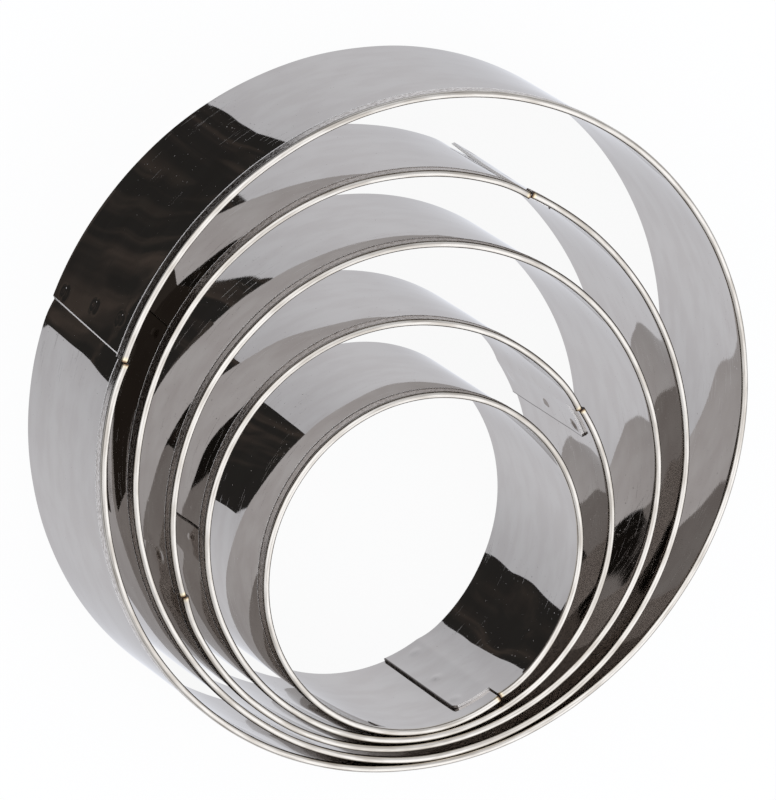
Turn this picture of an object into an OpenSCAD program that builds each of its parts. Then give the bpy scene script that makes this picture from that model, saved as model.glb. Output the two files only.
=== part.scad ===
// Set of five round biscuit cutters, nested one inside the next.
// Each cutter is one strip of thin steel, rolled into a hoop. Its top edge is folded
// outwards into a hem, and its two ends are lapped and spot welded.
// The set stands on its cutting edges. +Z points up to the hems, and the origin is at
// the middle of the largest ring on the plane of the cutting edges.

/* [Rings] */
// Outside diameter of the largest ring's wall
largest_d = 80; // [64:0.5:120]
// Step in diameter from the largest ring down to the large one
large_step = 10.5; // [6:0.5:13]
// Step in diameter from the large ring down to the middle one
middle_step = 9; // [6:0.5:13]
// Step in diameter from the middle ring down to the small one
small_step = 10; // [6:0.5:13]
// Step in diameter from the small ring down to the smallest one
smallest_step = 10.5; // [6:0.5:13]
// Height of a ring, from the cutting edge to the top of the hem
ring_h = 24; // [16:0.5:40]

/* [Sheet and hem] */
// Thickness of the steel sheet
sheet_t = 0.3; // [0.2:0.05:0.4]
// Room left inside the fold of the hem
fold_gap = 0.2; // [0.1:0.05:0.3]
// Height of the hem, down the outside of the ring
hem_h = 2.1; // [1.8:0.1:4]

/* [Seam] */
// Length of the end that is lapped inside the ring
lap_len = 5; // [4:0.5:9]
// Length over which the wall steps inwards, ahead of the lap
step_len = 10; // [7:0.5:12]
// Gap where the two ends of the hem meet
butt_gap = 0.3; // [0.2:0.1:0.8]
// Clearance between the lapped end's cut corner and the hem
notch_gap = 1.1; // [0.2:0.1:1.6]
// Ledge where one stretch of the strip runs into the next
ledge = 0.02; // [0.01:0.01:0.03]
// Length over which two stretches of the strip run into each other
run_in = 0.2; // [0.1:0.1:0.3]

/* [Spot welds] */
// Number of spot welds in the row along a seam
weld_count = 3; // [2:1:4]
// Diameter of the dimple that a spot weld leaves
weld_d = 1.8; // [1:0.1:2.4]
// Depth of the dimple
weld_depth = 0.1; // [0.06:0.02:0.14]
// Distance from each end of the row to the edge of the lap
weld_margin = 2.6; // [2:0.1:4]
// How far the welds press the two lapped ends into each other
weld_bite = 0.06; // [0.04:0.02:0.1]

/* [Seam directions] */
// Direction of the largest ring's seam, round from +X
largest_seam_angle = 161; // [140:1:180]
// Direction of the large ring's seam
large_seam_angle = 65; // [30:1:100]
// Direction of the middle ring's seam
middle_seam_angle = 196; // [170:1:205]
// Direction of the small ring's seam
small_seam_angle = 30; // [0:1:60]
// Direction of the smallest ring's seam
smallest_seam_angle = 300; // [270:1:330]

/* [Nesting] */
// Least gap between a ring's hem and the wall round it
nest_gap = 0.12; // [0.1:0.02:0.5]
// Direction in which the large ring lies against the largest
large_lean_angle = 246; // [235:1:300]
// Direction in which the middle ring lies against the large one
middle_lean_angle = 278; // [240:1:300]
// Direction in which the small ring lies against the middle one
small_lean_angle = 258; // [250:1:310]
// Direction in which the smallest ring lies against the small one
smallest_lean_angle = 292; // [240:1:310]

/* [Hidden] */
$fn = 180;
fold_fn = 24;

large_d = largest_d - large_step;
middle_d = large_d - middle_step;
small_d = middle_d - small_step;
smallest_d = small_d - smallest_step;

hem_t = 2 * sheet_t + fold_gap;
hem_proud = hem_t - sheet_t;
fold_z = ring_h - hem_t / 2;
lap_top = ring_h - hem_h - notch_gap;

// Distance between the middles of two rings that lie against each other
function nest_shift(outer_d, inner_d) =
    (outer_d - inner_d) / 2 - sheet_t - hem_proud - nest_gap;

function towards(angle, distance) = distance * [cos(angle), sin(angle)];

large_at = towards(large_lean_angle, nest_shift(largest_d, large_d));
middle_at = large_at + towards(middle_lean_angle, nest_shift(large_d, middle_d));
small_at = middle_at + towards(small_lean_angle, nest_shift(middle_d, small_d));
smallest_at = small_at + towards(smallest_lean_angle, nest_shift(small_d, smallest_d));

// Turn, in degrees, that a length along the wall takes up
function turn_of(length, radius) = length / radius * 180 / PI;

// Section of the plain wall up to the fold, its outside at the given radius
module wall_section(radius) {
    translate([radius - sheet_t, 0])
        square([sheet_t, fold_z]);
}

// Section of the hem: round over the top, then down the outside
module hem_section(radius) {
    translate([radius - sheet_t + hem_t / 2, fold_z])
        difference() {
            circle(d = hem_t, $fn = fold_fn);
            circle(d = fold_gap, $fn = fold_fn);
            translate([-hem_t, -2 * hem_t])
                square([2 * hem_t, 2 * hem_t]);
        }
    translate([radius + hem_proud - sheet_t, ring_h - hem_h])
        square([sheet_t, hem_h - hem_t / 2]);
}

// Section of the strip, from the cutting edge over the top
module strip_section(radius) {
    wall_section(radius);
    hem_section(radius);
}

// The strip all round the ring, from where it starts to step inwards back to the seam
module round_stretch(radius, step_turn) {
    rotate([0, 0, step_turn])
        rotate_extrude(angle = 360 - step_turn)
            strip_section(radius);
}

// The end that is lapped inside. It steps inwards on the ring's own curve, with its middle
// moved sideways, and then runs on against the inside of the ring. Its corner is cut away
// where the hem of the other end has to butt against its own. Each stretch starts one
// ledge inside the stretch that it joins.
module lapped_end(radius, step_turn) {
    inwards = sheet_t - weld_bite - ledge;
    along = (inwards * cos(step_turn) - ledge) / sin(step_turn);
    lap_turn = turn_of(lap_len, radius);
    run_in_turn = turn_of(run_in, radius);
    difference() {
        union() {
            translate([-inwards, along, 0])
                rotate([0, 0, -run_in_turn - turn_of(along, radius)])
                    rotate_extrude(angle = step_turn + 2 * run_in_turn)
                        strip_section(radius);
            rotate([0, 0, -lap_turn])
                rotate_extrude(angle = lap_turn + run_in_turn)
                    wall_section(radius - sheet_t + weld_bite);
        }
        translate([0, -radius, lap_top])
            cube([2 * radius, radius + butt_gap, ring_h]);
    }
}

// Dimples of the spot welds, in the outside of the lap
module weld_dimples(radius) {
    ball_r = (weld_d * weld_d / 4 + weld_depth * weld_depth) / (2 * weld_depth);
    spacing = (lap_top - 2 * weld_margin) / (weld_count - 1);
    rotate([0, 0, -turn_of(lap_len / 2, radius)])
        for (i = [0 : weld_count - 1])
            translate([radius - weld_depth + ball_r, 0, weld_margin + i * spacing])
                sphere(r = ball_r, $fn = 96);
}

// One cutter, its middle at the given place and its seam in the given direction
module cutter(diameter, place, seam) {
    radius = diameter / 2;
    step_turn = turn_of(step_len, radius);
    translate([place[0], place[1], 0])
        rotate([0, 0, seam])
            difference() {
                union() {
                    round_stretch(radius, step_turn);
                    lapped_end(radius, step_turn);
                }
                weld_dimples(radius);
            }
}

module largest_ring() {
    color("gainsboro") cutter(largest_d, [0, 0], largest_seam_angle);
}

module large_ring() {
    color("silver") cutter(large_d, large_at, large_seam_angle);
}

module middle_ring() {
    color("gainsboro") cutter(middle_d, middle_at, middle_seam_angle);
}

module small_ring() {
    color("silver") cutter(small_d, small_at, small_seam_angle);
}

module smallest_ring() {
    color("gainsboro") cutter(smallest_d, smallest_at, smallest_seam_angle);
}

largest_ring();
large_ring();
middle_ring();
small_ring();
smallest_ring();
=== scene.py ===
from math import atan2, cos, degrees, hypot, pi, radians, sin

import bmesh
import bpy
from mathutils import Matrix, Vector


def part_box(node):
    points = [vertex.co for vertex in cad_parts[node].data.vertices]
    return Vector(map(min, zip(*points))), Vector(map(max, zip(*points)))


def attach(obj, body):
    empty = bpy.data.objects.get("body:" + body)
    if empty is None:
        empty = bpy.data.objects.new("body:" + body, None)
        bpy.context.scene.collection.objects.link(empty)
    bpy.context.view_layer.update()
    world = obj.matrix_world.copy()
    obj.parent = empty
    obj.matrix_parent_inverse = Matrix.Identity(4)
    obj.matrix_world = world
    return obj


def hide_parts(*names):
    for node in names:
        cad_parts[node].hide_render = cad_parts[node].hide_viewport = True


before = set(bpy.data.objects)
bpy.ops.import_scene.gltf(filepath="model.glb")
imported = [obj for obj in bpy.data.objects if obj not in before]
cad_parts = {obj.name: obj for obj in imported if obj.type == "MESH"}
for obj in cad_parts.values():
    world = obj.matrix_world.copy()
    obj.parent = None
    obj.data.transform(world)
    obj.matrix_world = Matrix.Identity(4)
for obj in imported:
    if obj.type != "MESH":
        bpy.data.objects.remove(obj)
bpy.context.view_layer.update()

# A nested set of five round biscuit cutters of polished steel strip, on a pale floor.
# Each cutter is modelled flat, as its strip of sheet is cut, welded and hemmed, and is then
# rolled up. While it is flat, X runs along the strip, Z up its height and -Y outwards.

MM = 0.001

# The least distance that counts. It tells the points on a line from those next to it, and
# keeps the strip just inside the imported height.
SKIN = 0.01 * MM

# Sheet and hem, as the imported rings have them
RING_HEIGHT = 24.0 * MM
SHEET = 0.3 * MM
FOLD_GAP = 0.2 * MM
HEM_HEIGHT = 2.1 * MM
HEM_PROUD = SHEET + FOLD_GAP
HEM_EDGE = RING_HEIGHT - HEM_HEIGHT
FOLD_RADIUS = (SHEET + FOLD_GAP) / 2
FOLD_BASE = RING_HEIGHT - FOLD_RADIUS - SHEET / 2 - SKIN

# Crimp under the bead, and the lip that turns out along the hem's lower edge
CRIMP_DROP = 0.4 * MM
CRIMP_IN = 0.13 * MM
LIP_DROP = 0.14 * MM
LIP_OUT = 0.08 * MM

# Seam: the lap with its cut corner, the butt of the hem, and the joggle that steps the wall
# inwards, which is longer at the top than at the cutting edge
LAP_LENGTH = 4.8 * MM
BUTT_GAP = 0.2 * MM
NOTCH_GAP = 1.1 * MM
LAP_CLEARANCE = 0.02 * MM
LAP_TOP = HEM_EDGE - NOTCH_GAP
JOGGLE_LENGTH = 3.0 * MM
JOGGLE_SLANT = 2.0 * MM
FLAP_CHAMFER = 0.27 * MM
SPRUNG_REACH = 13.0 * MM
BURR = 0.18 * MM

# Spot welds: how far from the cut edge of the flap, and how high, each one is
WELDS = [(1.6 * MM, 2.5 * MM), (2.6 * MM, 11.4 * MM), (3.6 * MM, 18.6 * MM)]
WELD_DEPTH = 0.19 * MM
WELD_SIZE = 1.0 * MM
WELD_PIP = 0.07 * MM
WELD_PIP_SIZE = 0.5 * MM

# Mesh of the flat strip
CELL = 0.7 * MM
FINE_CELL = 0.3 * MM
FINE_STRETCH = 9.0 * MM
ROW = 0.42 * MM
FOLD_STEPS = 14
BAND_STEPS = 6
CRIMP_STEPS = 4
SHARP = radians(40)

# Waviness of the strip, of which each ring has its own stretch, how the hem's tool draws the
# wall in below the hem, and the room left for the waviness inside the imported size
WAVE = 0.14 * MM
WAVE_LENGTH = 14.0 * MM
WAVE_STRETCH = 10 * WAVE_LENGTH
DRAW = 0.2 * MM
DRAW_START = 15.0 * MM
ROOM = 0.07 * MM

# Each ring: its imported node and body, the direction of its seam in degrees, how far it is
# out of round (the cosine and sine parts of its ovality), which stretch of the waviness it
# has, how far out of square its seam is cut and how far the flap's lower corner is sprung
RINGS = [
    {"node": "largest_ring", "body": "largest", "seam": 161.2,
     "oval": (0.0, 0.0188), "wave": 0, "skew": 1.5 * MM, "sprung": 0},
    {"node": "large_ring", "body": "large", "seam": 64.7,
     "oval": (-0.0108, -0.0195), "wave": 1, "skew": 0, "sprung": 0.45 * MM},
    {"node": "middle_ring", "body": "middle", "seam": 196.0,
     "oval": (0.0032, 0.0002), "wave": 2, "skew": 0, "sprung": 0.06 * MM},
    {"node": "small_ring", "body": "small", "seam": 29.9,
     "oval": (0.0032, -0.0226), "wave": 3, "skew": 0, "sprung": 0.06 * MM},
    {"node": "smallest_ring", "body": "smallest", "seam": 298.6,
     "oval": (-0.0132, 0.0125), "wave": 4, "skew": 0, "sprung": 0.06 * MM},
]

# A ring's material slots, after the first one, which is the polished strip
BURNISHED, CRIMPED, SHEARED = 1, 2, 3


# Colours and nodes

# Sockets of a Mix node: its factor, and the two values or the two colours that it mixes
FACTOR = 0
VALUE_A, VALUE_B = 2, 3
COLOUR_A, COLOUR_B = 6, 7

SOFTLY = {"interpolation_type": "SMOOTHSTEP"}


def linear(hex_colour):
    """A colour written in sRGB hex, as linear red, green, blue and alpha."""
    parts = [int(hex_colour[i:i + 2], 16) / 255 for i in (1, 3, 5)]
    return [c / 12.92 if c <= 0.04045 else ((c + 0.055) / 1.055) ** 2.4 for c in parts] + [1.0]


def limits(low, high, to_low, to_high):
    """Inputs that map one stretch of a value onto another."""
    return {"From Min": low, "From Max": high, "To Min": to_low, "To Max": to_high}


def add_node(tree, kind, inputs=None, links=None, **settings):
    """Adds one node, with its settings, its fixed inputs and the sockets that feed it."""
    node = tree.nodes.new(kind)
    for name, value in settings.items():
        setattr(node, name, value)
    for socket, value in (inputs or {}).items():
        node.inputs[socket].default_value = value
    for socket, source in (links or {}).items():
        tree.links.new(source, node.inputs[socket])
    return node


# Modelling helpers

def start_piece(name):
    """Names the primitive that was just added and opens it for editing."""
    piece = bpy.context.object
    piece.name = name
    piece.data.name = name
    bpy.ops.object.mode_set(mode="EDIT")
    bpy.ops.mesh.select_all(action="DESELECT")
    return piece


def select_edges(piece, test):
    """Selects the edges of the piece whose two ends both pass the test."""
    bpy.ops.mesh.select_all(action="DESELECT")
    mesh = bmesh.from_edit_mesh(piece.data)
    for edge in mesh.edges:
        if all(test(vert.co) for vert in edge.verts):
            edge.select_set(True)
    bmesh.update_edit_mesh(piece.data)


def select_faces(piece, test):
    """Selects the faces of the piece whose middle passes the test."""
    bpy.ops.mesh.select_all(action="DESELECT")
    mesh = bmesh.from_edit_mesh(piece.data)
    for face in mesh.faces:
        face.select_set(test(face.calc_center_median()))
    bmesh.update_edit_mesh(piece.data)


def give_material(piece, slot, test):
    """Gives the faces whose middle passes the test the material of that slot."""
    select_faces(piece, test)
    piece.active_material_index = slot
    bpy.ops.object.material_slot_assign()


def extrude_steps(step, count):
    """Pulls the selected edges out along a step, so many times."""
    for _ in range(count):
        bpy.ops.mesh.extrude_region_move(TRANSFORM_OT_translate={"value": step})


def press(piece, place, move, size):
    """Presses the sheet at a place, moving it with a smooth fall-off of that size."""
    mesh = bmesh.from_edit_mesh(piece.data)
    nearest = min(mesh.verts, key=lambda vert: (vert.co - place).length_squared)
    bpy.ops.mesh.select_all(action="DESELECT")
    nearest.select_set(True)
    bmesh.update_edit_mesh(piece.data)
    bpy.ops.transform.translate(
        value=move, use_proportional_edit=True,
        proportional_edit_falloff="SMOOTH", proportional_size=size)


def ring_size(node):
    """Middle and outside radius of a ring's wall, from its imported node."""
    low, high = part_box(node)
    middle = (low + high) / 2
    return Vector((middle.x, middle.y, 0)), (high.x - low.x) / 2 - HEM_PROUD - ROOM


# The strip

def flat_strip(name, length):
    """The strip of sheet, up to the top of the lap. It starts at X = 0, past the butt of
    the hem, and the end that will be lapped inside lies at negative X. Its cells are small
    near its two ends, where the welds are."""
    plain = length - 2 * FINE_STRETCH
    height = LAP_TOP - SKIN
    bpy.ops.mesh.primitive_grid_add(
        x_subdivisions=round(plain / CELL), y_subdivisions=round(height / ROW), size=1,
        location=(length / 2, 0, (LAP_TOP + SKIN) / 2), rotation=(pi / 2, 0, 0))
    bpy.context.object.scale = (plain, height, 1)
    bpy.ops.object.transform_apply(location=True, rotation=True, scale=True)
    strip = start_piece(name)
    fine_steps = round(FINE_STRETCH / FINE_CELL)
    select_edges(strip, lambda co: co.x > length - FINE_STRETCH - SKIN)
    extrude_steps((FINE_STRETCH / fine_steps, 0, 0), fine_steps)
    select_edges(strip, lambda co: co.x < FINE_STRETCH + SKIN)
    extrude_steps((-FINE_STRETCH / fine_steps, 0, 0), fine_steps)
    lap = LAP_LENGTH + BUTT_GAP
    lap_steps = round(lap / FINE_CELL)
    extrude_steps((-lap / lap_steps, 0, 0), lap_steps)
    return strip


def spot_weld(strip, length):
    """Presses the dimples of the spot welds into the flap and into the lap under it, each
    with the small pip that the electrode leaves, and burrs the cut corner of the lap."""
    for from_edge, height in WELDS:
        for end in (length, -BUTT_GAP):
            place = Vector((end - from_edge, 0, height))
            press(strip, place, (0, WELD_DEPTH, 0), WELD_SIZE)
            press(strip, place, (0, -WELD_PIP, 0), WELD_PIP_SIZE)
    corner = Vector((-LAP_LENGTH - BUTT_GAP, 0, LAP_TOP))
    press(strip, corner, (BURR, BURR / 2, -BURR), 3 * BURR)


def fold_hem(strip):
    """Lengthens the strip above the lap, folds it over outwards, crimps it in towards the
    wall, brings it down flat against it and leaves a fine lip turned out below."""
    select_edges(strip, lambda co: co.x > -SKIN and co.z > LAP_TOP - ROW / 2)
    extrude_steps((0, 0, (FOLD_BASE - LAP_TOP) / BAND_STEPS), BAND_STEPS)
    bpy.ops.mesh.spin(
        steps=FOLD_STEPS, angle=-pi, center=(0, -FOLD_RADIUS, FOLD_BASE), axis=(1, 0, 0))
    extrude_steps((0, CRIMP_IN / CRIMP_STEPS, -CRIMP_DROP / CRIMP_STEPS), CRIMP_STEPS)
    down = FOLD_BASE - CRIMP_DROP - HEM_EDGE - LIP_DROP
    extrude_steps((0, 0, -down / BAND_STEPS), BAND_STEPS)
    extrude_steps((0, -LIP_OUT, -LIP_DROP), 1)


def note_places(strip, length):
    """Writes where each point lies on the flat strip, and how far it is from the butt and
    from the lap's end, for the finishes to follow once the strip is rolled up."""
    notes = strip.data.attributes
    notes.new("strip_place", "FLOAT_VECTOR", "POINT")
    for name in ("from_butt", "from_lap", "inside"):
        notes.new(name, "FLOAT", "POINT")
    places = notes["strip_place"].data
    butts = notes["from_butt"].data
    laps = notes["from_lap"].data
    for vert in strip.data.vertices:
        places[vert.index].vector = vert.co
        butts[vert.index].value = min(abs(vert.co.x), abs(length - vert.co.x))
        laps[vert.index].value = vert.co.x + LAP_LENGTH + BUTT_GAP


def ripple(strip, start):
    """Ripples the strip a little along its length, as thin sheet is out of flat."""
    texture = bpy.data.textures.new("ripple of thin sheet", "CLOUDS")
    texture.noise_scale = WAVE_LENGTH
    texture.noise_depth = 1
    anchor = bpy.data.objects.new("ripple start", None)
    anchor.location = (start, 0, 0)
    bpy.context.scene.collection.objects.link(anchor)
    bpy.context.view_layer.update()
    wave = strip.modifiers.new("ripple", "DISPLACE")
    wave.texture = texture
    wave.texture_coords = "OBJECT"
    wave.texture_coords_object = anchor
    wave.direction = "Y"
    wave.mid_level = 0.5
    wave.strength = WAVE
    bpy.ops.object.modifier_apply(modifier=wave.name)
    bpy.data.objects.remove(anchor)


def thicken(strip):
    """Gives the strip the thickness of its sheet, with its rim sheared, and marks the face
    that will be inside the ring."""
    solid = strip.modifiers.new("sheet", "SOLIDIFY")
    solid.thickness = SHEET
    solid.offset = 0
    solid.use_even_offset = True
    solid.material_offset_rim = SHEARED
    bpy.ops.object.modifier_apply(modifier=solid.name)
    places = strip.data.attributes["strip_place"].data
    inside = strip.data.attributes["inside"].data
    for vert in strip.data.vertices:
        inside[vert.index].value = float(vert.co.y > places[vert.index].vector.y)


def trim_edges(strip, length):
    """Breaks the outer edge of the flap, which shows along the seam, and gives it the flange's
    finish, with the painted highlight of the flange's lower edge.
    The upper edge of the lap gets the same finish and the same painted highlight."""
    bpy.ops.object.mode_set(mode="EDIT")
    select_edges(strip, lambda co: co.x > length - SKIN and co.y < 0 and co.z < HEM_EDGE - SKIN)
    bpy.ops.mesh.bevel(offset=FLAP_CHAMFER, segments=1, affect="EDGES", material=CRIMPED)
    give_material(strip, CRIMPED, lambda co: co.x < -SKIN and co.z > LAP_TOP - SKIN)
    bpy.ops.object.mode_set(mode="OBJECT")


def roll_up(strip, length, middle, radius, ring):
    """Rolls the flat strip round the ring's middle. The lapped end is joggled inwards, the
    wall is drawn in towards the hem, and the flap's lower corner springs out."""
    oval = ring["oval"]
    trim = 2 * (oval[0] ** 2 + oval[1] ** 2)
    for vert in strip.data.vertices:
        height = vert.co.z
        along = vert.co.x + BUTT_GAP
        joggle = JOGGLE_LENGTH + JOGGLE_SLANT * height / RING_HEIGHT
        left = 1 - min(max(along / joggle, 0), 1)
        inset = (SHEET + LAP_CLEARANCE) * left * left
        rise = max((height - DRAW_START) / (RING_HEIGHT - DRAW_START), 0)
        free = max(1 - hypot(length - vert.co.x, height) / SPRUNG_REACH, 0)
        drawn = DRAW * rise * rise - ring["sprung"] * free * free + vert.co.y
        turn = radians(ring["seam"]) + (along - ring["skew"] * (1 - height / RING_HEIGHT)) / radius
        out_of_round = 1 - trim + oval[0] * cos(2 * turn) + oval[1] * sin(2 * turn)
        reach = (radius - SHEET / 2 - inset) * out_of_round - drawn
        vert.co.x = middle.x + reach * cos(turn)
        vert.co.y = middle.y + reach * sin(turn)


def cutter(ring, finishes):
    """One cutter, from its flat strip to the finished hoop."""
    middle, radius = ring_size(ring["node"])
    length = 2 * pi * radius - BUTT_GAP
    bpy.ops.object.select_all(action="DESELECT")
    strip = flat_strip(ring["node"] + "_strip", length)
    spot_weld(strip, length)
    fold_hem(strip)
    bpy.ops.mesh.select_all(action="SELECT")
    bpy.ops.mesh.remove_doubles(threshold=SKIN / 10)
    bpy.ops.mesh.normals_make_consistent(inside=False)
    for finish in finishes:
        strip.data.materials.append(finish)
    give_material(strip, BURNISHED, lambda co: co.z > FOLD_BASE)
    give_material(strip, CRIMPED, lambda co: co.y < -FOLD_RADIUS and co.z <= FOLD_BASE)
    bpy.ops.object.mode_set(mode="OBJECT")
    note_places(strip, length)
    ripple(strip, ring["wave"] * WAVE_STRETCH)
    thicken(strip)
    trim_edges(strip, length)
    roll_up(strip, length, middle, radius, ring)
    bpy.ops.object.shade_smooth_by_angle(angle=SHARP)
    return strip


# Materials

# Sizes of their patterns, as real strip has them. Its rolling lines, scratches, burnishing
# streaks and the grain of its crimped and sheared edges are too fine to show, so those are
# drawn as coarse as they need to be.
STAIN_SIZE = 3.0 * MM
LINE_SPACING = 0.22 * MM
LINE_LENGTH = 9.0 * MM
LINE_DEPTH = 0.0005 * MM
PIT_SIZE = 0.35 * MM
PIT_DEPTH = 0.006 * MM
DUST_SPACING = 3.2 * MM
DUST_SIZE = 0.15 * MM
SCRATCH_LENGTH = 7.0 * MM
SCRATCH_WIDTH = 0.16 * MM
SCRATCH_TURNS = (0.5, -0.9, 1.3)
# Width of the painted shadow line along the lap's cut end, inside the ring
LAP_SHADOW_WIDTH = 0.1 * MM
BURNISH_SPACING = 0.3 * MM
BURNISH_DEPTH = 0.002 * MM
# How far from the butt the pale yellow reaches, a tint of heat that is also a painted highlight
STRAW_AND_HIGHLIGHT_REACH = 0.7 * MM
BROWN_FROM = 0.05 * MM
BROWN_TO = 0.3 * MM
CRIMP_GRAIN = 0.17 * MM
CRIMP_DEPTH = 0.004 * MM
CREASE = FOLD_BASE - CRIMP_DROP
# Width of the painted shade in the crease under the bead
CREASE_WIDTH = 0.13 * MM
# Width of the flange's lower edge, which is rougher and carries a painted highlight
RUBBED_AND_HIGHLIT_WIDTH = 0.16 * MM
SHEAR_GRAIN = 0.3 * MM
SHEAR_DEPTH = 0.02 * MM

# Levels of the grain between which a mark or a tone grows from nothing to its full strength
GRAIN_RANGE = (0.3, 0.7)
STAIN_LEVELS = (0.35, 0.65)
PIT_LEVELS = (0.72, 0.80)
SCRATCH_LEVELS = (0.77, 0.84)
BURNISH_LEVELS = (0.3, 0.65)
CRIMP_LEVELS = (0.35, 0.62)
TEAR_LEVELS = (0.35, 0.65)

# How strong a scratch is, and how far the painted shadow line at the lap's cut end, a burn or the
# painted shade in the crease hides the metal
SCRATCH_STRENGTH = 0.25
HIDING = 0.9

# Roughness of each finish, at its smoothest and its roughest, and the metal's tint at grazing
# angles
POLISHED_ROUGHNESS = (0.025, 0.35)
BURNISHED_ROUGHNESS = (0.1, 0.22)
CRIMPED_ROUGHNESS = (0.12, 0.34)
RUBBED_ROUGHNESS = 0.55
SHEARED_ROUGHNESS = 0.45
GRAZING_TINT = (0.72, 0.71, 0.70, 1)


def steel(name):
    """A metal whose edge reflects less than its face, as iron alloys do."""
    material = bpy.data.materials.new(name)
    material.use_nodes = True
    tree = material.node_tree
    shader = tree.nodes["Principled BSDF"]
    shader.inputs["Metallic"].default_value = 1.0
    shader.inputs["Specular Tint"].default_value = GRAZING_TINT
    place = add_node(tree, "ShaderNodeAttribute", attribute_name="strip_place")
    return material, tree, shader, place.outputs["Vector"]


def strip_grain(tree, place, along, across, detail=2.0, turned=0.0):
    """Grain that follows the strip, so long along it and so wide across it."""
    lie = add_node(tree, "ShaderNodeMapping",
                   {"Rotation": (0, turned, 0), "Scale": (1 / along, 1 / across, 1 / across)},
                   {"Vector": place})
    return add_node(tree, "ShaderNodeTexNoise", {"Scale": 1.0, "Detail": detail},
                    {"Vector": lie.outputs[0]}).outputs["Fac"]


def lap_shadow_line(tree):
    """A fine dark line painted inside the ring along the lap's cut end: a painted shadow of that end
    on the wall.
    """
    along = add_node(tree, "ShaderNodeAttribute", attribute_name="from_lap").outputs["Fac"]
    inside = add_node(tree, "ShaderNodeAttribute", attribute_name="inside").outputs["Fac"]
    line = add_node(tree, "ShaderNodeMapRange", limits(LAP_SHADOW_WIDTH, 2 * LAP_SHADOW_WIDTH, HIDING, 0),
                    {"Value": along}, **SOFTLY)
    return add_node(tree, "ShaderNodeMath", links={0: line.outputs[0], 1: inside},
                    operation="MULTIPLY").outputs[0]


def wear_marks(tree, place):
    """Pits, specks of dust and fine scratches on the wall, 1 where they are strongest."""
    pitting = strip_grain(tree, place, PIT_SIZE, PIT_SIZE, detail=1.0)
    pits = add_node(tree, "ShaderNodeMapRange", limits(*PIT_LEVELS, 0, 1),
                    {"Value": pitting}, **SOFTLY)
    specks = add_node(tree, "ShaderNodeTexVoronoi", {"Scale": 1 / DUST_SPACING}, {"Vector": place})
    dust = add_node(tree, "ShaderNodeMapRange", limits(0, DUST_SIZE / DUST_SPACING, 1, 0),
                    {"Value": specks.outputs["Distance"]}, **SOFTLY)
    marks = add_node(tree, "ShaderNodeMath", links={0: pits.outputs[0], 1: dust.outputs[0]},
                     operation="MAXIMUM")
    for turned in SCRATCH_TURNS:
        grain = strip_grain(tree, place, SCRATCH_LENGTH, SCRATCH_WIDTH, detail=0.0, turned=turned)
        scratch = add_node(tree, "ShaderNodeMapRange", limits(*SCRATCH_LEVELS, 0, SCRATCH_STRENGTH),
                           {"Value": grain}, **SOFTLY)
        marks = add_node(tree, "ShaderNodeMath", links={0: marks.outputs[0], 1: scratch.outputs[0]},
                         operation="MAXIMUM")
    return marks.outputs[0]


def polished_strip():
    """Bright-rolled stainless strip, polished: a mirror, with fine rolling lines along it
    that fray the edges of what it reflects, faint stains, and the marks of handling."""
    material, tree, shader, place = steel("polished stainless strip")
    marks = wear_marks(tree, place)
    rough = add_node(tree, "ShaderNodeMapRange", limits(0, 1, *POLISHED_ROUGHNESS),
                     {"Value": marks}, **SOFTLY)
    tree.links.new(rough.outputs[0], shader.inputs["Roughness"])
    staining = strip_grain(tree, place, 2 * STAIN_SIZE, STAIN_SIZE, detail=5.0)
    stains = add_node(tree, "ShaderNodeMapRange", limits(*STAIN_LEVELS, 0, 1),
                      {"Value": staining}, **SOFTLY)
    stained = add_node(tree, "ShaderNodeMix",
                       {COLOUR_A: linear("#C8C3BF"), COLOUR_B: linear("#CECAC6")},
                       {FACTOR: stains.outputs[0]}, data_type="RGBA")
    # Painted shadow: the wall is darkened along the lap's cut end inside the ring
    lap_shaded = add_node(tree, "ShaderNodeMix", {COLOUR_B: linear("#4A4440")},
                      {FACTOR: lap_shadow_line(tree), COLOUR_A: stained.outputs[2]}, data_type="RGBA")
    tree.links.new(lap_shaded.outputs[2], shader.inputs["Base Color"])
    lines = strip_grain(tree, place, LINE_LENGTH, LINE_SPACING, detail=3.0)
    rolled = add_node(tree, "ShaderNodeBump", {"Strength": 1.0, "Distance": LINE_DEPTH},
                      {"Height": lines})
    pitted = add_node(tree, "ShaderNodeBump", {"Strength": 1.0, "Distance": PIT_DEPTH},
                      {"Height": marks, "Normal": rolled.outputs[0]}, invert=True)
    tree.links.new(pitted.outputs[0], shader.inputs["Normal"])
    return material


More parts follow.
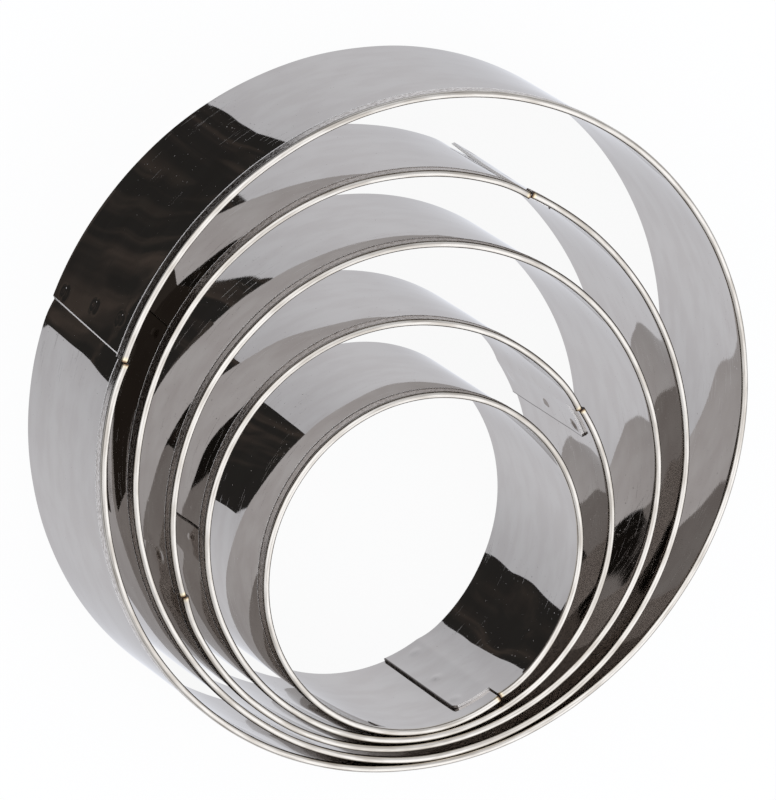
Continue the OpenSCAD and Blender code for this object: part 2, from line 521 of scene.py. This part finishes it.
def burnished_fold():
    """Stainless strip burnished by the folding tool: smooth but softer than the wall, with streaks
    along the bead. Next to the butt it has the brown tint of heat, and past that a pale yellow that
    is both a tint of heat and a painted highlight of the hem's cut end."""
    material, tree, shader, place = steel("burnished stainless fold")
    streaks = strip_grain(tree, place, 12 * BURNISH_SPACING, BURNISH_SPACING, detail=3.0)
    rough = add_node(tree, "ShaderNodeMapRange", limits(*GRAIN_RANGE, *BURNISHED_ROUGHNESS),
                     {"Value": streaks}, **SOFTLY)
    tree.links.new(rough.outputs[0], shader.inputs["Roughness"])
    worn = add_node(tree, "ShaderNodeMapRange", limits(*BURNISH_LEVELS, 0, 1),
                    {"Value": streaks}, **SOFTLY)
    tone = add_node(tree, "ShaderNodeMix", {COLOUR_A: linear("#BDB5A9"), COLOUR_B: linear("#DDD7CD")},
                    {FACTOR: worn.outputs[0]}, data_type="RGBA")
    near = add_node(tree, "ShaderNodeAttribute", attribute_name="from_butt").outputs["Fac"]
    blotch = strip_grain(tree, place, 2 * BURNISH_SPACING, 2 * BURNISH_SPACING)
    reach = add_node(tree, "ShaderNodeMath", {1: STRAW_AND_HIGHLIGHT_REACH}, {0: blotch, 2: near},
                     operation="MULTIPLY_ADD")
    # Painted highlight: pale yellow next to the butt, where the hem's cut end catches light; it is
    # also the tint of heat
    past_straw_and_highlight = add_node(tree, "ShaderNodeMapRange",
                          limits(0.7 * STRAW_AND_HIGHLIGHT_REACH, 1.5 * STRAW_AND_HIGHLIGHT_REACH, 0, 1),
                          {"Value": reach.outputs[0]}, **SOFTLY)
    straw_and_highlight = add_node(tree, "ShaderNodeMix", {COLOUR_A: linear("#F2E3BF")},
                     {FACTOR: past_straw_and_highlight.outputs[0], COLOUR_B: tone.outputs[2]}, data_type="RGBA")
    burnt = add_node(tree, "ShaderNodeMapRange", limits(BROWN_FROM, BROWN_TO, HIDING, 0),
                     {"Value": near}, **SOFTLY)
    brown = add_node(tree, "ShaderNodeMix", {COLOUR_B: linear("#6E4D33")},
                     {FACTOR: burnt.outputs[0], COLOUR_A: straw_and_highlight.outputs[2]}, data_type="RGBA")
    tree.links.new(brown.outputs[2], shader.inputs["Base Color"])
    bump = add_node(tree, "ShaderNodeBump", {"Strength": 1.0, "Distance": BURNISH_DEPTH},
                    {"Height": streaks})
    tree.links.new(bump.outputs[0], shader.inputs["Normal"])
    return material


def crimped_edge():
    """The hem's flange, as the crimping rolls leave it: softly grainy, and rubbed rough along its
    lower edge.
    Its tone is painted paler than the steel's, as light the flange catches; painted shade darkens the
    crease under the bead; and a painted highlight makes the lower edge pale."""
    material, tree, shader, place = steel("crimped stainless edge")
    grain = strip_grain(tree, place, 2.5 * CRIMP_GRAIN, CRIMP_GRAIN, detail=4.0)
    height = add_node(tree, "ShaderNodeSeparateXYZ", links={0: place}).outputs["Z"]
    # The flange's lower edge: rougher, and painted pale as a highlight
    rubbed_and_highlit = add_node(tree, "ShaderNodeMapRange", limits(HEM_EDGE, HEM_EDGE + RUBBED_AND_HIGHLIT_WIDTH, 1, 0),
                      {"Value": height}, **SOFTLY)
    grained = add_node(tree, "ShaderNodeMapRange", limits(*GRAIN_RANGE, *CRIMPED_ROUGHNESS),
                       {"Value": grain}, **SOFTLY)
    rough = add_node(tree, "ShaderNodeMix", {VALUE_B: RUBBED_ROUGHNESS},
                     {FACTOR: rubbed_and_highlit.outputs[0], VALUE_A: grained.outputs[0]})
    tree.links.new(rough.outputs[0], shader.inputs["Roughness"])
    # Painted light: the grain's tones run paler than the steel's own, for the light that the flange
    # catches
    worn = add_node(tree, "ShaderNodeMapRange", limits(*CRIMP_LEVELS, 0, 1),
                    {"Value": grain}, **SOFTLY)
    tone = add_node(tree, "ShaderNodeMix", {COLOUR_A: linear("#B0A9A3"), COLOUR_B: linear("#F0EBE6")},
                    {FACTOR: worn.outputs[0]}, data_type="RGBA")
    # Painted highlight along the lower edge
    pale = add_node(tree, "ShaderNodeMix", {COLOUR_B: linear("#FAF7F3")},
                    {FACTOR: rubbed_and_highlit.outputs[0], COLOUR_A: tone.outputs[2]}, data_type="RGBA")
    # Painted shade: the crease under the bead is darkened, where the bead shades it
    crease_shade = add_node(tree, "ShaderNodeMapRange", limits(CREASE - CREASE_WIDTH, CREASE, 0, HIDING),
                       {"Value": height}, **SOFTLY)
    crease_shaded = add_node(tree, "ShaderNodeMix", {COLOUR_B: linear("#2E2823")},
                     {FACTOR: crease_shade.outputs[0], COLOUR_A: pale.outputs[2]}, data_type="RGBA")
    tree.links.new(crease_shaded.outputs[2], shader.inputs["Base Color"])
    bump = add_node(tree, "ShaderNodeBump", {"Strength": 1.0, "Distance": CRIMP_DEPTH},
                    {"Height": grain})
    tree.links.new(bump.outputs[0], shader.inputs["Normal"])
    return material


def sheared_edge():
    """The sheet's edges as the shears leave them: torn across, dull and dark."""
    material, tree, shader, place = steel("sheared stainless edge")
    shader.inputs["Roughness"].default_value = SHEARED_ROUGHNESS
    tear = strip_grain(tree, place, SHEAR_GRAIN, 3 * SHEAR_GRAIN, detail=3.0)
    torn = add_node(tree, "ShaderNodeMapRange", limits(*TEAR_LEVELS, 0, 1),
                    {"Value": tear}, **SOFTLY)
    tone = add_node(tree, "ShaderNodeMix", {COLOUR_A: linear("#59534E"), COLOUR_B: linear("#857E78")},
                    {FACTOR: torn.outputs[0]}, data_type="RGBA")
    tree.links.new(tone.outputs[2], shader.inputs["Base Color"])
    bump = add_node(tree, "ShaderNodeBump", {"Strength": 1.0, "Distance": SHEAR_DEPTH},
                    {"Height": tear})
    tree.links.new(bump.outputs[0], shader.inputs["Normal"])
    return material


# Studio

# Below the set the light is even, a little stronger from one side. The pairs of numbers here
# are where one level of light starts to pass into the next, and where it has done so.
BELOW_DIM = 0.6
BELOW_BRIGHT = 1.0
LIT_FROM = radians(323)
LIT_SIDE = (-0.75, 0.25)

# Above it, two wide soft boxes face each other. Each has a direction and a height as angles.
ABOVE_LEVEL = 0.8
BOX_LEVEL = 0.7
BOXES = [(radians(143), radians(46)), (radians(318), radians(40))]
BOX_EDGE = (0.55, 0.92)
ABOVE_FROM = (-0.05, 0.15)

# Between floor and boxes the room is darker, and its light is a little cool all round.
DARK_BAND = 0.4
BAND_EDGE = (0.03, 0.35)
ROOM_TINT = (0.93, 0.955, 1.025, 1)


def studio_world():
    """The room, as a soft pale surround, white where the camera sees it."""
    world = bpy.data.worlds.new("pale studio")
    bpy.context.scene.world = world
    world.use_nodes = True
    tree = world.node_tree
    tree.nodes.clear()
    toward = add_node(tree, "ShaderNodeTexCoord").outputs["Generated"]
    rise = add_node(tree, "ShaderNodeSeparateXYZ", links={0: toward}).outputs["Z"]
    side = add_node(tree, "ShaderNodeVectorMath", {1: (cos(LIT_FROM), sin(LIT_FROM), 0)},
                    {0: toward}, operation="DOT_PRODUCT")
    below = add_node(tree, "ShaderNodeMapRange", limits(*LIT_SIDE, BELOW_DIM, BELOW_BRIGHT),
                     {"Value": side.outputs["Value"]}, **SOFTLY)
    boxes = [add_node(tree, "ShaderNodeVectorMath",
                      {1: (cos(turn) * cos(lift), sin(turn) * cos(lift), sin(lift))},
                      {0: toward}, operation="DOT_PRODUCT") for turn, lift in BOXES]
    nearest = add_node(tree, "ShaderNodeMath", operation="MAXIMUM",
                       links={0: boxes[0].outputs["Value"], 1: boxes[1].outputs["Value"]})
    above = add_node(tree, "ShaderNodeMapRange",
                     limits(*BOX_EDGE, ABOVE_LEVEL, ABOVE_LEVEL + BOX_LEVEL),
                     {"Value": nearest.outputs[0]}, **SOFTLY)
    upper = add_node(tree, "ShaderNodeMapRange", limits(*ABOVE_FROM, 0, 1),
                     {"Value": rise}, **SOFTLY)
    level = add_node(tree, "ShaderNodeMix", links={
        FACTOR: upper.outputs[0], VALUE_A: below.outputs[0], VALUE_B: above.outputs[0]})
    height = add_node(tree, "ShaderNodeMath", links={0: rise}, operation="ABSOLUTE")
    band = add_node(tree, "ShaderNodeMapRange", limits(*BAND_EDGE, DARK_BAND, 1),
                    {"Value": height.outputs[0]}, **SOFTLY)
    banded = add_node(tree, "ShaderNodeMath", links={0: level.outputs[0], 1: band.outputs[0]},
                      operation="MULTIPLY")
    tinted = add_node(tree, "ShaderNodeMix", {FACTOR: 1.0, COLOUR_B: ROOM_TINT},
                      {COLOUR_A: banded.outputs[0]}, data_type="RGBA", blend_type="MULTIPLY")
    path = add_node(tree, "ShaderNodeLightPath")
    seen = add_node(tree, "ShaderNodeMix", {COLOUR_B: (1, 1, 1, 1)},
                    {FACTOR: path.outputs["Is Camera Ray"], COLOUR_A: tinted.outputs[2]},
                    data_type="RGBA")
    back = add_node(tree, "ShaderNodeBackground", {"Strength": 1.0}, {"Color": seen.outputs[2]})
    add_node(tree, "ShaderNodeOutputWorld", links={"Surface": back.outputs[0]})


def bare_material(name):
    """A new material whose nodes are all still to be made."""
    material = bpy.data.materials.new(name)
    material.use_nodes = True
    material.node_tree.nodes.clear()
    return material, material.node_tree


# The paper is this many metres across, and lies just below the cutting edges. The camera sees
# this share of it as pure white and the rest as it is lit.
FLOOR_SIZE = 6
FLOOR_DROP = 0.02 * MM
FLOOR_WHITE = 0.93
PAPER_TONE = (0.9, 0.9, 0.9, 1)


def floor():
    """White paper under the set, which keeps a faint shadow."""
    bpy.ops.mesh.primitive_plane_add(size=FLOOR_SIZE, location=(0, 0, -FLOOR_DROP))
    ground = bpy.context.object
    ground.name = "floor"
    material, tree = bare_material("white paper")
    matt = add_node(tree, "ShaderNodeBsdfDiffuse", {"Color": PAPER_TONE})
    glow = add_node(tree, "ShaderNodeEmission", {"Color": (1, 1, 1, 1), "Strength": 1.0})
    path = add_node(tree, "ShaderNodeLightPath")
    share = add_node(tree, "ShaderNodeMath", {1: FLOOR_WHITE}, {0: path.outputs["Is Camera Ray"]},
                     operation="MULTIPLY")
    mixed = add_node(tree, "ShaderNodeMixShader",
                     links={0: share.outputs[0], 1: matt.outputs[0], 2: glow.outputs[0]})
    add_node(tree, "ShaderNodeOutputMaterial", links={"Surface": mixed.outputs[0]})
    ground.data.materials.append(material)
    ground.visible_glossy = False


def only_reflect(card, material):
    """Gives a card of the studio its material, and lets only the polished walls show it."""
    card.data.materials.append(material)
    card.visible_camera = False
    card.visible_shadow = False
    card.visible_diffuse = False


# The dark card: how far it is below the set, its corners in millimetres and its streaks
CARD_DROP = 100 * MM
CARD_OUTLINE = [(-31, -15), (-19, -9), (-15, 3), (-18, 22), (-36, 47), (-46, 59), (-34, 70),
                (-18, 85), (-18, 112), (-10, 240), (-250, 260), (-250, -10), (-130, 10), (-104, 12),
                (-95, 15), (-88, 12), (-77, -17)]
STREAK_TURN = 0.9
STREAKS_PER_METRE = (85, 26, 30)
STREAK_LEVELS = (0.47, 0.78)
CARD_TONE = (0.026, 0.025, 0.024, 1)
STREAK_TONE = (0.080, 0.064, 0.055, 1)


def dark_card():
    """A dark card below the set, which gives the walls their black patches."""
    bpy.ops.object.select_all(action="DESELECT")
    bpy.ops.mesh.primitive_circle_add(vertices=len(CARD_OUTLINE), fill_type="NGON")
    card = bpy.context.object
    card.name = "dark_card"
    for vert, (x, y) in zip(card.data.vertices, CARD_OUTLINE):
        vert.co = (x * MM, y * MM, -CARD_DROP)
    material, tree = bare_material("black card")
    place = add_node(tree, "ShaderNodeTexCoord").outputs["Object"]
    lie = add_node(tree, "ShaderNodeMapping",
                   {"Rotation": (0, 0, STREAK_TURN), "Scale": STREAKS_PER_METRE}, {"Vector": place})
    grain = add_node(tree, "ShaderNodeTexNoise", {"Scale": 1.0, "Detail": 6.0, "Distortion": 0.8},
                     {"Vector": lie.outputs[0]})
    streaks = add_node(tree, "ShaderNodeMapRange", limits(*STREAK_LEVELS, 0, 1),
                       {"Value": grain.outputs["Fac"]}, **SOFTLY)
    tone = add_node(tree, "ShaderNodeMix", {COLOUR_A: CARD_TONE, COLOUR_B: STREAK_TONE},
                    {FACTOR: streaks.outputs[0]}, data_type="RGBA")
    glow = add_node(tree, "ShaderNodeEmission", links={"Color": tone.outputs[2]})
    add_node(tree, "ShaderNodeOutputMaterial", links={"Surface": glow.outputs[0]})
    only_reflect(card, material)


# The painted shade under the gap: how far it is below the set, and the directions in degrees that it
# runs between
GAP_SHADE_DROP = 0.3 * MM
GAP_SHADE_FROM = 140
GAP_SHADE_TO = 197
GAP_SHADE_CORNERS = 120
GAP_SHADE_TONE = (0.06, 0.052, 0.047, 1)


def gap_shade_card():
    """A narrow dark card under the gap between the two largest rings, seen only in the polished
    walls: painted shade that stands in for the shade on the floor in that gap. It casts no shadow."""
    middle, radius = ring_size("largest_ring")
    inner_middle, inner_radius = ring_size("large_ring")
    drop = Vector((0, 0, GAP_SHADE_DROP))
    bpy.ops.object.select_all(action="DESELECT")
    bpy.ops.mesh.primitive_circle_add(
        vertices=GAP_SHADE_CORNERS, radius=radius - SHEET, fill_type="NOTHING", location=middle - drop)
    shade_card = start_piece("gap_shade_card")
    bpy.ops.mesh.select_all(action="SELECT")
    bpy.ops.mesh.extrude_region_move(TRANSFORM_OT_translate={"value": inner_middle - middle})
    narrower = inner_radius / (radius - SHEET)
    bpy.ops.transform.resize(value=(narrower, narrower, 1), center_override=inner_middle - drop)
    select_faces(shade_card, lambda co: not GAP_SHADE_FROM < degrees(atan2(co.y, co.x)) % 360 < GAP_SHADE_TO)
    bpy.ops.mesh.delete(type="FACE")
    bpy.ops.object.mode_set(mode="OBJECT")
    material, tree = bare_material("painted gap shade")
    glow = add_node(tree, "ShaderNodeEmission", {"Color": GAP_SHADE_TONE})
    add_node(tree, "ShaderNodeOutputMaterial", links={"Surface": glow.outputs[0]})
    only_reflect(shade_card, material)


# Where the camera stands, what it looks at, which way is up in the picture, its lens and film
# in millimetres, and how far it sees in metres
CAMERA_PLACE = Vector((-514.143, 385.376, 1237.679)) * MM
CAMERA_TARGET = Vector((-0.05, 0.94, 12.0)) * MM
CAMERA_UP = Vector((0.10747, 0.96062, -0.25623))
LENS = 556.7
FILM = 36
FARTHEST = 20


def camera():
    """A long lens, high over the set, turned as the photograph is."""
    back = (CAMERA_PLACE - CAMERA_TARGET).normalized()
    right = CAMERA_UP.cross(back).normalized()
    up = back.cross(right)
    data = bpy.data.cameras.new("camera")
    data.sensor_width = FILM
    data.sensor_fit = "HORIZONTAL"
    data.lens = LENS
    data.clip_end = FARTHEST
    eye = bpy.data.objects.new("camera", data)
    bpy.context.scene.collection.objects.link(eye)
    turned = Matrix((right, up, back)).transposed().to_4x4()
    eye.matrix_world = Matrix.Translation(CAMERA_PLACE) @ turned
    bpy.context.scene.camera = eye


finishes = [polished_strip(), burnished_fold(), crimped_edge(), sheared_edge()]
for ring in RINGS:
    hoop = cutter(ring, finishes)
    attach(hoop, ring["body"])
    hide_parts(ring["node"])

studio_world()
floor()
dark_card()
gap_shade_card()
camera()
bpy.context.scene.view_settings.view_transform = "Standard"

# Light bounces this often in the narrow gaps between the walls before it is lost
bpy.context.scene.cycles.glossy_bounces = 10
